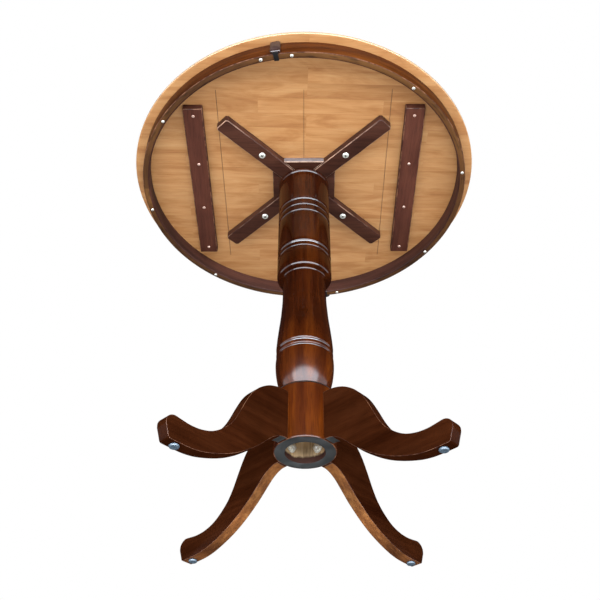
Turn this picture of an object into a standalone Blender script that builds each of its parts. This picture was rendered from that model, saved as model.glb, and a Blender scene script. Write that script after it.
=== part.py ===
"""Bar-height round pedestal table, all parts fixed together.

Metres, +Z up, origin on the floor under the column axis.  A glued round top carries a
half-lapped cross, two battens and a ring apron made of two half rings; a turned column
in three lengths stands on four sawn legs with plastic glides.
"""
import math

import bmesh
import bpy
from mathutils import Matrix

for old in list(bpy.data.objects):
    bpy.data.objects.remove(old, do_unlink=True)

GAP = 0.0003                      # clearance between neighbouring pieces
HOLE_EXTRA = 0.0006               # added to a shank radius for its bored hole

# ---- top ----------------------------------------------------------------------------
TOP_R = 0.457
TOP_Z = 1.017
UNDER_Z = 0.992
# edge moulding, top to bottom: radius, height
TOP_EDGE = [(0.4400, 1.0170), (0.4430, 1.0163), (0.4440, 1.0145), (0.4447, 1.0095),
            (0.4475, 1.0050), (0.4520, 1.0020), (0.4555, 1.0005), (0.4570, 0.9985),
            (0.4570, 0.9940), (0.4560, 0.9924), (0.4540, 0.9920)]
KERF_X = (-0.22, 0.0, 0.22)
KERF_Y0, KERF_Y1 = -0.30, 0.29
KERF_W, KERF_DEPTH = 0.002, 0.0035
TOP_TURN_DEG = -1.7               # everything bolted under the top is turned a little

# ---- ring apron ---------------------------------------------------------------------
APRON_R1, APRON_R0 = 0.434, 0.417
APRON_Z0, APRON_Z1 = 0.950, UNDER_Z - GAP
SEAM_DEG = (-100.5, 79.5)         # where the two half rings meet
APRON_SEGS = 36
SCREW_RING_R = 0.4255
SCREW_FIRST_DEG, SCREW_STEP_DEG, SCREWS_PER_HALF = 5.0, 42.5, 5
BLOCK_W, BLOCK_T = 0.025, 0.008
CLIP_W, CLIP_T, CLIP_UP = 0.012, 0.0015, 0.011

# ---- battens ------------------------------------------------------------------------
BATTEN_X0, BATTEN_X1 = 0.256, 0.306
BATTEN_HALF_LEN = 0.257
BATTEN_Z0 = 0.972
BATTEN_SCREW_X = 0.280
BATTEN_SCREW_Y = (-0.235, -0.078, 0.078, 0.235)

# ---- cross under the top ------------------------------------------------------------
CROSS_W, CROSS_Z0 = 0.042, 0.970
CROSS_HALF_LEN, CROSS_CLIP = 0.298, 0.005
CROSS_BOLT_XY = 0.110
FILLER_OUT, FILLER_Z0 = 0.084, 0.974

# ---- column: height, radius, from the top of each length down ------------------------
JOINT_HI, JOINT_LO = 0.8298, 0.6980
SHAFT_R = 0.0668
EXT_UPPER = [(0.9697, 0.0655), (0.9690, 0.0666), (0.9678, 0.0668), (0.9664, 0.0663),
             (0.9652, 0.0652), (0.9646, 0.0636), (0.9634, 0.0636), (0.9629, 0.0660),
             (0.9616, SHAFT_R), (0.8590, SHAFT_R), (0.8566, 0.0663), (0.8545, 0.0652),
             (0.8534, 0.0636), (0.8518, 0.0636), (0.8512, 0.0660), (0.8498, SHAFT_R),
             (0.8345, SHAFT_R), (0.8330, 0.0662), (0.8318, 0.0650), (0.8310, 0.0636)]
EXT_LOWER = [(0.8285, 0.0640), (0.8279, 0.0662), (0.8266, 0.0670), (0.8150, 0.0670),
             (0.8126, 0.0664), (0.8106, 0.0652), (0.8095, 0.0636), (0.8079, 0.0636),
             (0.8073, 0.0662), (0.8060, 0.0670), (0.7070, 0.0671), (0.7044, 0.0666),
             (0.7020, 0.0655), (0.7006, 0.0638)]
PEDESTAL = [(0.6966, 0.0640), (0.6960, 0.0664), (0.6946, 0.0672), (0.6860, 0.0672),
            (0.6844, 0.0665), (0.6832, 0.0650), (0.6826, 0.0640), (0.6812, 0.0640),
            (0.6806, 0.0662), (0.6794, 0.0672), (0.6310, 0.0673), (0.6274, 0.0667),
            (0.6242, 0.0652), (0.6220, 0.0628), (0.6206, 0.0598), (0.6197, 0.0565),
            (0.6176, 0.0543), (0.6135, 0.0532), (0.6060, 0.0527), (0.5900, 0.0525),
            (0.5650, 0.0527), (0.5450, 0.0532), (0.5270, 0.0544), (0.5080, 0.0557),
            (0.4890, 0.0574), (0.4710, 0.0594), (0.4530, 0.0614), (0.4350, 0.0632),
            (0.4180, 0.0646), (0.4060, 0.0654), (0.4005, 0.0652), (0.3968, 0.0642),
            (0.3945, 0.0624), (0.3928, 0.0618), (0.3918, 0.0622), (0.3912, 0.0642),
            (0.3898, 0.0651), (0.3850, 0.0652), (0.3822, 0.0645), (0.3804, 0.0630),
            (0.3790, 0.0619), (0.3776, 0.0622), (0.3769, 0.0642), (0.3755, 0.0652),
            (0.3690, 0.0659), (0.3600, 0.0662), (0.3500, 0.0659), (0.3400, 0.0652),
            (0.3300, 0.0640), (0.3200, 0.0625), (0.3110, 0.0606), (0.3020, 0.0582),
            (0.2940, 0.0553), (0.2870, 0.0519), (0.2820, 0.0490), (0.2795, 0.0480),
            (0.2780, 0.0490), (0.2774, 0.0560), (0.2770, 0.0630), (0.2755, 0.0655), (0.2725, 0.0668), (0.2690, 0.0670),
            (0.1378, 0.0670), (0.1360, 0.0655)]
COLUMN_STEPS = 24
HUB_R = 0.0670
HUB_Z0 = 0.136
BORE_R, BORE_TOP = 0.043, 0.212   # hollow under the hub
ROD_R = 0.005                     # tie rod through all three lengths
ROD_HOLE_R = 0.0060
ROD_Z0, ROD_Z1 = 0.194, 0.986

# ---- legs ---------------------------------------------------------------------------
LEG_T = 0.026
LEG_DEG = (45.0, 135.0, 225.0, 315.0)
LEG_NAMES = ("back_right", "back_left", "front_left", "front_right")
# side outline: distance from the column axis, height
LEG_TOP = [(0.055, 0.2520), (0.080, 0.2525), (0.100, 0.2490), (0.124, 0.2395), (0.150, 0.2205),
           (0.171, 0.1955), (0.188, 0.1640), (0.205, 0.1275), (0.221, 0.1010), (0.243, 0.0790),
           (0.267, 0.0630), (0.294, 0.0545), (0.319, 0.0525), (0.340, 0.0545), (0.356, 0.0560),
           (0.367, 0.0510), (0.3725, 0.0420), (0.3725, 0.0320)]
LEG_UNDER = [(0.3640, 0.0080), (0.3600, 0.0058), (0.3250, 0.0058), (0.3050, 0.0072), (0.2810, 0.0118),
             (0.2480, 0.0228), (0.2150, 0.0375), (0.1840, 0.0565), (0.1500, 0.0825),
             (0.1240, 0.1070), (0.1080, 0.1215), (0.0930, 0.1310), (0.0800, 0.1355),
             (0.0720, 0.1360), (0.0550, 0.1360)]
GLIDE_AT, GLIDE_R, GLIDE_H = 0.340, 0.0096, 0.0055
PIN_R, PIN_TOP = 0.0015, 0.020
LEG_BOLT_Z, LEG_BOLT_R = 0.166, 0.004
LEG_BOLT_S0, LEG_BOLT_S1 = 0.0315, 0.112
NUT_WASHER_R, NUT_R, NUT_H = 0.0115, 0.0085, 0.0080


# ---- helpers ------------------------------------------------------------------------
def make_collection(name):
    coll = bpy.data.collections.new(name)
    bpy.context.scene.collection.children.link(coll)
    return coll


PARTS = make_collection("pedestal_table")
CUTTERS = make_collection("cutters")
WOOD_TOP = (0.48, 0.24, 0.09)
WOOD_DARK = (0.10, 0.025, 0.010)
WOOD_MID = (0.16, 0.045, 0.015)
BLACK = (0.02, 0.018, 0.017)
ZINC = (0.62, 0.60, 0.56)
BRASSY = (0.60, 0.42, 0.25)
GREY = (0.28, 0.36, 0.44)


def add_object(name, bm, coll=None):
    bmesh.ops.recalc_face_normals(bm, faces=bm.faces)
    mesh = bpy.data.meshes.new(name)
    bm.to_mesh(mesh)
    bm.free()
    ob = bpy.data.objects.new(name, mesh)
    (coll or PARTS).objects.link(ob)
    if coll is CUTTERS:
        ob.hide_render = True
        ob.display_type = "WIRE"
    return ob


def finish(ob, colour, rough=0.5, metal=0.0):
    mat = bpy.data.materials.new(ob.name + "_material")
    mat.use_nodes = True
    bsdf = mat.node_tree.nodes["Principled BSDF"]
    bsdf.inputs["Base Color"].default_value = (*colour, 1.0)
    bsdf.inputs["Roughness"].default_value = rough
    bsdf.inputs["Metallic"].default_value = metal
    ob.data.materials.append(mat)
    return ob


def revolve(name, profile, steps, closed=False):
    """Turned solid: profile of (radius, height) running down its outer side."""
    bm = bmesh.new()
    verts = [bm.verts.new((r, 0.0, z)) for r, z in profile]
    for a, b in zip(verts, verts[1:]):
        bm.edges.new((a, b))
    if closed:
        bm.edges.new((verts[-1], verts[0]))
    mesh = bpy.data.meshes.new(name)
    bm.to_mesh(mesh)
    bm.free()
    ob = bpy.data.objects.new(name, mesh)
    PARTS.objects.link(ob)
    mod = ob.modifiers.new("turn", "SCREW")
    mod.axis = "Z"
    mod.steps = mod.render_steps = steps
    mod.use_merge_vertices = True
    mod.merge_threshold = 1e-5
    return ob


def prism(bm, outline, z0, z1, matrix=Matrix()):
    """Extrude a plane outline from z0 to z1, then place it with matrix."""
    face = bm.faces.new([bm.verts.new((x, y, z0)) for x, y in outline])
    out = bmesh.ops.extrude_face_region(bm, geom=[face])
    moved = [g for g in out["geom"] if isinstance(g, bmesh.types.BMVert)]
    bmesh.ops.translate(bm, verts=moved, vec=(0, 0, z1 - z0))
    bmesh.ops.transform(bm, matrix=matrix, verts=list(face.verts) + moved)


def box(bm, x0, x1, y0, y1, z0, z1, matrix=Matrix()):
    prism(bm, [(x0, y0), (x1, y0), (x1, y1), (x0, y1)], z0, z1, matrix)


def peg(bm, radius, z0, z1, matrix=Matrix(), segs=10):
    """Solid cylinder from z0 to z1 along the local Z axis."""
    lift = Matrix.Translation((0, 0, (z0 + z1) / 2))
    bmesh.ops.create_cone(bm, cap_ends=True, segments=segs, radius1=radius, radius2=radius,
                          depth=z1 - z0, matrix=matrix @ lift)


def cut(ob, bm):
    cutter = add_object(ob.name + "_cutter", bm, CUTTERS)
    mod = ob.modifiers.new("cut", "BOOLEAN")
    mod.operation = "DIFFERENCE"
    mod.solver = "EXACT"
    mod.object = cutter


def ease(ob, width, segments=1, angle=50.0):
    mod = ob.modifiers.new("ease", "BEVEL")
    mod.width = width
    mod.segments = segments
    mod.limit_method = "ANGLE"
    mod.angle_limit = math.radians(angle)


def smooth(points, per_span):
    """Catmull-Rom curve through the points."""
    ends = [points[0]] + list(points) + [points[-1]]
    out = []
    for p0, p1, p2, p3 in zip(ends, ends[1:], ends[2:], ends[3:]):
        for k in range(per_span):
            t = k / per_span
            out.append(tuple(0.5 * (2 * b + (c - a) * t + (2 * a - 5 * b + 4 * c - d) * t * t
                                    + (3 * b - a - 3 * c + d) * t ** 3)
                             for a, b, c, d in zip(p0, p1, p2, p3)))
    out.append(tuple(points[-1]))
    return out


def spin(deg):
    return Matrix.Rotation(math.radians(deg), 4, "Z")


def radial_to_y(deg):
    """Local Z points outwards along a radius at the given angle."""
    return spin(deg) @ Matrix.Rotation(math.radians(90.0), 4, "Y")


def screw(name, x, y, under, head_r, head_h, shank_r, tip_z, colour, steps=8):
    """Screw driven upwards: the head hangs below the surface at height `under`."""
    z1 = under - GAP
    z0 = z1 - head_h
    profile = [(0.0, tip_z), (shank_r, tip_z - 0.003), (shank_r, z1), (head_r, z1),
               (head_r, z0 + head_h * 0.55), (head_r * 0.72, z0 + head_h * 0.12), (0.0, z0)]
    ob = revolve(name, profile, steps)
    ob.location = (x, y, 0.0)
    return finish(ob, colour, 0.35, 1.0)


def polar(radius, deg):
    return radius * math.cos(math.radians(deg)), radius * math.sin(math.radians(deg))


def turned(x, y):
    """A place under the top, turned with the cross and battens."""
    a = math.radians(TOP_TURN_DEG)
    return x * math.cos(a) - y * math.sin(a), x * math.sin(a) + y * math.cos(a)


# ---- where every screw goes ---------------------------------------------------------
apron_screws = []
for half, (seam, sign) in enumerate(((SEAM_DEG[0], 1), (SEAM_DEG[0], -1))):
    for k in range(SCREWS_PER_HALF):
        deg = seam + sign * (SCREW_FIRST_DEG + SCREW_STEP_DEG * k)
        apron_screws.append((half, *polar(SCREW_RING_R, deg)))
batten_screws = [(sx, *turned(sx * BATTEN_SCREW_X, y)) for sx in (-1, 1) for y in BATTEN_SCREW_Y]
cross_bolts = [(sx * sy > 0, *turned(sx * CROSS_BOLT_XY, sy * CROSS_BOLT_XY))
               for sx in (-1, 1) for sy in (-1, 1)]
APRON_SHANK, BATTEN_SHANK, BOLT_SHANK = 0.0020, 0.0020, 0.0032
APRON_TIP, BATTEN_TIP, BOLT_TIP = 1.003, 1.003, 1.006

# ---- tabletop -----------------------------------------------------------------------
top = revolve("tabletop", [(0.0, TOP_Z)] + TOP_EDGE + [(0.0, UNDER_Z)], 72)
bm = bmesh.new()
for x in KERF_X:
    box(bm, x - KERF_W / 2, x + KERF_W / 2, KERF_Y0, KERF_Y1, UNDER_Z - 0.01, UNDER_Z + KERF_DEPTH,
        spin(TOP_TURN_DEG))
for _, x, y in apron_screws:
    peg(bm, APRON_SHANK + HOLE_EXTRA, UNDER_Z - 0.01, APRON_TIP + GAP, Matrix.Translation((x, y, 0)))
for _, x, y in batten_screws:
    peg(bm, BATTEN_SHANK + HOLE_EXTRA, UNDER_Z - 0.01, BATTEN_TIP + GAP, Matrix.Translation((x, y, 0)))
for _, x, y in cross_bolts:
    peg(bm, BOLT_SHANK + HOLE_EXTRA, UNDER_Z - 0.01, BOLT_TIP + GAP, Matrix.Translation((x, y, 0)))
cut(top, bm)
finish(top, WOOD_TOP, 0.45)

# ---- apron halves -------------------------------------------------------------------
seam_half_gap = math.degrees(GAP / APRON_R1)
for half, (name, a0) in enumerate((("apron_right", SEAM_DEG[0]), ("apron_left", SEAM_DEG[1]))):
    start, stop = a0 + seam_half_gap, a0 + 180.0 - seam_half_gap
    degs = [start + (stop - start) * k / APRON_SEGS for k in range(APRON_SEGS + 1)]
    outline = [polar(APRON_R1, d) for d in degs] + [polar(APRON_R0, d) for d in reversed(degs)]
    bm = bmesh.new()
    prism(bm, outline, APRON_Z0, APRON_Z1)
    ring = add_object(name, bm)
    bm = bmesh.new()
    for owner, x, y in apron_screws:
        if owner == half:
            peg(bm, APRON_SHANK + HOLE_EXTRA, APRON_Z0 - 0.01, APRON_Z1 + 0.01,
                Matrix.Translation((x, y, 0)))
    cut(ring, bm)
    finish(ring, WOOD_DARK, 0.35)

# ---- seam blocks and clips ----------------------------------------------------------
for name, deg in (("front", SEAM_DEG[0]), ("back", SEAM_DEG[1])):
    bm = bmesh.new()
    box(bm, APRON_R1 + GAP, APRON_R1 + BLOCK_T, -BLOCK_W / 2, BLOCK_W / 2,
        APRON_Z0, APRON_Z1, spin(deg))
    block = add_object("seam_block_" + name, bm)
    ease(block, 0.002, 2)
    finish(block, BLACK, 0.35)

    floor_z = APRON_Z0 - GAP
    inner = APRON_R0 * math.cos(math.pi / APRON_SEGS / 2) - 2 * GAP
    strap = [(inner - CLIP_T, floor_z - CLIP_T), (APRON_R1 + BLOCK_T - 0.001, floor_z - CLIP_T),
             (APRON_R1 + BLOCK_T - 0.001, floor_z), (inner, floor_z),
             (inner, floor_z + CLIP_UP), (inner - CLIP_T, floor_z + CLIP_UP)]
    bm = bmesh.new()
    stand_up = Matrix.Rotation(math.radians(90.0), 4, "X")
    prism(bm, strap, -CLIP_W / 2, CLIP_W / 2, spin(deg) @ stand_up)
    finish(add_object("seam_clip_" + name, bm), BLACK, 0.4, 0.6)

for n, (half, x, y) in enumerate(apron_screws):
    screw("apron_screw_%02d" % (n + 1), x, y, APRON_Z0, 0.0040, 0.0022, APRON_SHANK, APRON_TIP, ZINC)

# ---- battens ------------------------------------------------------------------------
for sx, name in ((-1, "batten_left"), (1, "batten_right")):
    xs = sorted((sx * BATTEN_X0, sx * BATTEN_X1))
    bm = bmesh.new()
    box(bm, xs[0], xs[1], -BATTEN_HALF_LEN, BATTEN_HALF_LEN, BATTEN_Z0, UNDER_Z - GAP,
        spin(TOP_TURN_DEG))
    batten = add_object(name, bm)
    ease(batten, 0.0015)
    bm = bmesh.new()
    for owner, x, y in batten_screws:
        if owner == sx:
            peg(bm, BATTEN_SHANK + HOLE_EXTRA, BATTEN_Z0 - 0.01, UNDER_Z + 0.01,
                Matrix.Translation((x, y, 0)))
    cut(batten, bm)
    finish(batten, WOOD_DARK, 0.6)
for n, (_, x, y) in enumerate(batten_screws):
    screw("batten_screw_%d" % (n + 1), x, y, BATTEN_Z0, 0.0038, 0.0018, BATTEN_SHANK, BATTEN_TIP, BRASSY)

# ---- half-lapped cross --------------------------------------------------------------
LAP_Z = (CROSS_Z0 + UNDER_Z - GAP) / 2
half_w, clip = CROSS_W / 2, CROSS_CLIP
for name, first, notch in (("cross_bar_a", True, (LAP_Z - GAP / 2, UNDER_Z + 0.01)),
                           ("cross_bar_b", False, (CROSS_Z0 - 0.01, LAP_Z + GAP / 2))):
    deg = TOP_TURN_DEG + (45.0 if first else 135.0)
    end = CROSS_HALF_LEN
    outline = [(end, -half_w + clip), (end, half_w - clip), (end - clip, half_w),
               (-end + clip, half_w), (-end, half_w - clip), (-end, -half_w + clip),
               (-end + clip, -half_w), (end - clip, -half_w)]
    bm = bmesh.new()
    prism(bm, outline, CROSS_Z0, UNDER_Z - GAP, spin(deg))
    bar = add_object(name, bm)
    ease(bar, 0.0012, 1, 60.0)
    bm = bmesh.new()
    box(bm, -half_w - GAP, half_w + GAP, -CROSS_W, CROSS_W, notch[0], notch[1], spin(deg))
    cut(bar, bm)
    bm = bmesh.new()
    peg(bm, ROD_HOLE_R, CROSS_Z0 - 0.01, UNDER_Z + 0.01)
    for owner, x, y in cross_bolts:
        if owner == first:
            peg(bm, BOLT_SHANK + HOLE_EXTRA, CROSS_Z0 - 0.01, UNDER_Z + 0.01,
                Matrix.Translation((x, y, 0)))
    cut(bar, bm)
    finish(bar, WOOD_DARK, 0.4)

apex = half_w * math.sqrt(2.0) + 2 * GAP
for name, deg in (("right", 0.0), ("back", 90.0), ("left", 180.0), ("front", 270.0)):
    reach = FILLER_OUT - apex
    bm = bmesh.new()
    prism(bm, [(apex, 0.0), (FILLER_OUT, -reach), (FILLER_OUT, reach)],
          FILLER_Z0, UNDER_Z - GAP, spin(deg + TOP_TURN_DEG))
    finish(add_object("cross_filler_" + name, bm), WOOD_DARK, 0.5)

for n, (_, x, y) in enumerate(cross_bolts):
    screw("cross_bolt_%d" % (n + 1), x, y, CROSS_Z0, 0.0085, 0.0042, BOLT_SHANK, BOLT_TIP, ZINC, 12)

# ---- column lengths -----------------------------------------------------------------
def tube(name, outer, top_z, bottom_z, inside):
    """Turned length: outer profile from the top down, then the bore back up."""
    profile = [(outer[0][1], top_z)] if outer[0][0] < top_z else []
    profile += [(r, z) for z, r in outer]
    if outer[-1][0] > bottom_z:
        profile.append((outer[-1][1], bottom_z))
    return revolve(name, profile + inside, COLUMN_STEPS, closed=True)


upper = tube("extension_upper", EXT_UPPER, CROSS_Z0 - GAP, JOINT_HI + GAP,
             [(ROD_HOLE_R, JOINT_HI + GAP), (ROD_HOLE_R, CROSS_Z0 - GAP)])
finish(upper, WOOD_MID, 0.25)
lower = tube("extension_lower", EXT_LOWER, JOINT_HI, JOINT_LO + GAP,
             [(ROD_HOLE_R, JOINT_LO + GAP), (ROD_HOLE_R, JOINT_HI)])
finish(lower, WOOD_MID, 0.25)
pedestal = tube("pedestal_column", PEDESTAL, JOINT_LO, HUB_Z0,
                [(BORE_R, HUB_Z0), (BORE_R, BORE_TOP), (ROD_HOLE_R, BORE_TOP),
                 (ROD_HOLE_R, JOINT_LO)])
bm = bmesh.new()
for deg in LEG_DEG:
    peg(bm, LEG_BOLT_R + HOLE_EXTRA, BORE_R - 0.01, HUB_R + 0.01,
        Matrix.Translation((0, 0, LEG_BOLT_Z)) @ radial_to_y(deg), 12)
cut(pedestal, bm)
finish(pedestal, WOOD_MID, 0.22)

nut_r, nut_t = 0.0088, 0.008
bm = bmesh.new()
peg(bm, ROD_R, ROD_Z0, ROD_Z1, segs=12)
finish(add_object("tie_rod", bm), ZINC, 0.4, 1.0)
rod_nut = revolve("tie_rod_nut", [(0.014, BORE_TOP - GAP), (0.014, BORE_TOP - 0.002),
                                  (nut_r, BORE_TOP - 0.002), (nut_r, BORE_TOP - 0.002 - nut_t),
                                  (ROD_R + 2 * GAP, BORE_TOP - 0.002 - nut_t),
                                  (ROD_R + 2 * GAP, BORE_TOP - GAP)], 12, closed=True)
finish(rod_nut, ZINC, 0.4, 1.0)

# ---- legs, glides and hanger bolts --------------------------------------------------
leg_outline = smooth(LEG_TOP, 2) + smooth(LEG_UNDER, 2)
stand_up = Matrix.Rotation(math.radians(90.0), 4, "X")
for name, deg in zip(LEG_NAMES, LEG_DEG):
    bm = bmesh.new()
    prism(bm, leg_outline, -LEG_T / 2, LEG_T / 2, spin(deg) @ stand_up)
    leg = add_object("leg_" + name, bm)
    ease(leg, 0.0012, 1, 60.0)
    bm = bmesh.new()
    peg(bm, HUB_R + 2 * GAP, HUB_Z0 - 0.05, 0.32, segs=COLUMN_STEPS)
    cut(leg, bm)
    bm = bmesh.new()
    peg(bm, LEG_BOLT_R + HOLE_EXTRA, HUB_R - 0.01, LEG_BOLT_S1 + 0.001,
        Matrix.Translation((0, 0, LEG_BOLT_Z)) @ radial_to_y(deg), 12)
    gx, gy = polar(GLIDE_AT, deg)
    peg(bm, PIN_R + HOLE_EXTRA, 0.0, PIN_TOP + 0.001, Matrix.Translation((gx, gy, 0)))
    cut(leg, bm)
    finish(leg, WOOD_DARK, 0.3)

    glide = revolve("glide_" + name,
                    [(0.0, PIN_TOP), (PIN_R, PIN_TOP - 0.003), (PIN_R, GLIDE_H),
                     (GLIDE_R * 0.86, GLIDE_H), (GLIDE_R, GLIDE_H * 0.72), (GLIDE_R, GLIDE_H * 0.42),
                     (GLIDE_R * 0.84, 0.0006), (GLIDE_R * 0.74, 0.0), (0.0, 0.0)], 12)
    glide.location = (gx, gy, 0.0)
    finish(glide, GREY, 0.45)

    axis = Matrix.Translation((0, 0, LEG_BOLT_Z)) @ radial_to_y(deg)
    bm = bmesh.new()
    peg(bm, LEG_BOLT_R, LEG_BOLT_S0, LEG_BOLT_S1, axis, 10)
    finish(add_object("leg_bolt_" + name, bm), ZINC, 0.35, 1.0)
    seat = math.sqrt(BORE_R ** 2 - NUT_WASHER_R ** 2) * math.cos(math.pi / COLUMN_STEPS) - GAP
    nut = revolve("leg_nut_" + name,
                  [(NUT_WASHER_R, seat), (NUT_WASHER_R, seat - 0.0016), (NUT_R, seat - 0.0016),
                   (NUT_R, seat - NUT_H), (LEG_BOLT_R + 2 * GAP, seat - NUT_H),
                   (LEG_BOLT_R + 2 * GAP, seat)], 12, closed=True)
    nut.matrix_world = axis
    finish(nut, ZINC, 0.35, 1.0)
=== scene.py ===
import math

import bmesh
import bpy
from mathutils import Matrix, Vector


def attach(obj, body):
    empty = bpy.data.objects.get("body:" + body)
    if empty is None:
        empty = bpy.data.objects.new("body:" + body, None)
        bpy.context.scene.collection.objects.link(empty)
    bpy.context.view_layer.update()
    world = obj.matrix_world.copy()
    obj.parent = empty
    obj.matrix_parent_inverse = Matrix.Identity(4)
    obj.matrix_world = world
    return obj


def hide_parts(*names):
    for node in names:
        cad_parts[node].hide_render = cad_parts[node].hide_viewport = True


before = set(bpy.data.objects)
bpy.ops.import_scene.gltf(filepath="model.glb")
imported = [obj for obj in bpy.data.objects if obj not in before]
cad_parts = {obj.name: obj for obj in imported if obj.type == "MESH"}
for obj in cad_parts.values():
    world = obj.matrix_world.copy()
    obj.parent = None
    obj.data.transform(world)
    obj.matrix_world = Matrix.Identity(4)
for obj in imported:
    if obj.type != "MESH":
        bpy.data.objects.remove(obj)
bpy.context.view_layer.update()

# Metres and Z up. The column stands on the origin, and the front pair of legs is on the -Y side.
TAU = math.tau
ALONG_X, ALONG_Y, ALONG_Z = range(3)
TOP_TURN = -1.7            # degrees: the cross, battens and saw kerfs sit a little turned
TOP_Z, UNDER_Z = 1.017, 0.992
FIXED_Z = UNDER_Z - 0.0003     # upper faces of what is fixed under the top
APRON_Z, CROSS_Z, BATTEN_Z, FILLER_Z = 0.950, 0.970, 0.972, 0.974    # lower faces


# ---------------------------------------------------------------- geometry helpers
def link(ob):
    bpy.context.scene.collection.objects.link(ob)
    return ob


def to_object(name, bm, mats, smooth_deg=32.0):
    mesh = bpy.data.meshes.new(name)
    bm.to_mesh(mesh)
    bm.free()
    for mat in mats:
        mesh.materials.append(mat)
    for poly in mesh.polygons:
        poly.use_smooth = True
    mesh.set_sharp_from_angle(angle=math.radians(smooth_deg))
    return link(bpy.data.objects.new(name, mesh))


def mesh_of(ob):
    """Keeps the mesh for several pieces and removes the object that carried it."""
    mesh = ob.data
    bpy.data.objects.remove(ob, do_unlink=True)
    return mesh


def stand_for(piece, cad_node):
    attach(piece, "root")
    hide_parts(cad_node)


def place(mesh, name, x, y, z, turn, slot_name, node):
    ob = link(bpy.data.objects.new(name, mesh))
    ob.location = (x, y, z)
    ob.rotation_euler = (0.0, 0.0, turn)
    stand_for(ob, node)


def spin(deg):
    return Matrix.Rotation(math.radians(deg), 4, "Z")


def smooth(points, per_span):
    """Smooth curve through the points; short tangents keep uneven spans from overshooting."""
    points = [Vector((a, b)) for a, b in points]
    tangents = [Vector((0.0, 0.0))]
    for before, here, after in zip(points, points[1:], points[2:]):
        across = after - before
        shorter = min((here - before).length, (after - here).length)
        tangents.append(across * min(0.5, shorter / max(across.length, 1e-9)))
    tangents.append(Vector((0.0, 0.0)))
    out = []
    for start, end, leave, arrive in zip(points, points[1:], tangents, tangents[1:]):
        for k in range(per_span):
            t = k / per_span
            out.append(tuple(start * (2 * t ** 3 - 3 * t * t + 1) + leave * (t ** 3 - 2 * t * t + t)
                             + end * (3 * t * t - 2 * t ** 3) + arrive * (t ** 3 - t * t)))
    out.append(tuple(points[-1]))
    return out


def lathe(name, profile, steps, mats, pick=lambda r, z: 0, closed=False, smooth_deg=32.0):
    """Turned mesh: (radius, height) points down the outer side; a zero radius is a pole."""
    bm = bmesh.new()
    rings = []
    for r, z in profile:
        if r < 1e-7:
            rings.append([bm.verts.new((0, 0, z))])
        else:
            rings.append([bm.verts.new((r * math.cos(TAU * k / steps), r * math.sin(TAU * k / steps), z))
                          for k in range(steps)])
    pairs = list(zip(rings, rings[1:], profile, profile[1:]))
    if closed:
        pairs.append((rings[-1], rings[0], profile[-1], profile[0]))
    for upper, lower, a, b in pairs:
        index = pick((a[0] + b[0]) / 2, (a[1] + b[1]) / 2)
        for k in range(steps):
            n = (k + 1) % steps
            if len(upper) == 1:
                loop = (upper[0], lower[k], lower[n])
            elif len(lower) == 1:
                loop = (upper[k], lower[0], upper[n])
            else:
                loop = (upper[k], lower[k], lower[n], upper[n])
            bm.faces.new(loop).material_index = index
    bmesh.ops.recalc_face_normals(bm, faces=bm.faces)
    return to_object(name, bm, mats, smooth_deg)


def prism(outline, z0, z1, matrix=Matrix()):
    bm = bmesh.new()
    face = bm.faces.new([bm.verts.new((x, y, z0)) for x, y in outline])
    out = bmesh.ops.extrude_face_region(bm, geom=[face])
    moved = [g for g in out["geom"] if isinstance(g, bmesh.types.BMVert)]
    bmesh.ops.translate(bm, verts=moved, vec=(0, 0, z1 - z0))
    bmesh.ops.transform(bm, matrix=matrix, verts=bm.verts)
    bmesh.ops.recalc_face_normals(bm, faces=bm.faces)
    return bm


def round_edges(bm, edges, width, segments, material=-1):
    bmesh.ops.bevel(bm, geom=edges, offset=width, offset_type="OFFSET", segments=segments,
                    profile=0.5, affect="EDGES", material=material, clamp_overlap=True)


def ease(bm, width, segments=2, angle=50.0, material=-1):
    """Rounds every edge sharper than the angle, in its own material where one is given."""
    edges = [e for e in bm.edges if len(e.link_faces) == 2
             and e.calc_face_angle(0.0) > math.radians(angle)]
    round_edges(bm, edges, width, segments, material)


def box_cutter(bm, centre, size):
    bmesh.ops.create_cube(bm, size=1.0, matrix=Matrix.Translation(centre) @ Matrix.Diagonal((*size, 1.0)))


def carve(ob, cutter_bm, cut_mat=None):
    """Cuts the shape out of the object; the new faces can have their own material."""
    mesh = bpy.data.meshes.new("cutter")
    cutter_bm.to_mesh(mesh)
    cutter_bm.free()
    if cut_mat:
        mesh.materials.append(cut_mat)
    tool = link(bpy.data.objects.new("cutter", mesh))
    mod = ob.modifiers.new("cut", "BOOLEAN")
    mod.operation, mod.solver, mod.object = "DIFFERENCE", "EXACT", tool
    if cut_mat:
        mod.material_mode = "TRANSFER"
    graph = bpy.context.evaluated_depsgraph_get()
    done = bpy.data.meshes.new_from_object(ob.evaluated_get(graph))
    ob.modifiers.clear()
    ob.data = done
    bpy.data.objects.remove(tool, do_unlink=True)
    done.set_sharp_from_angle(angle=math.radians(32.0))


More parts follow.
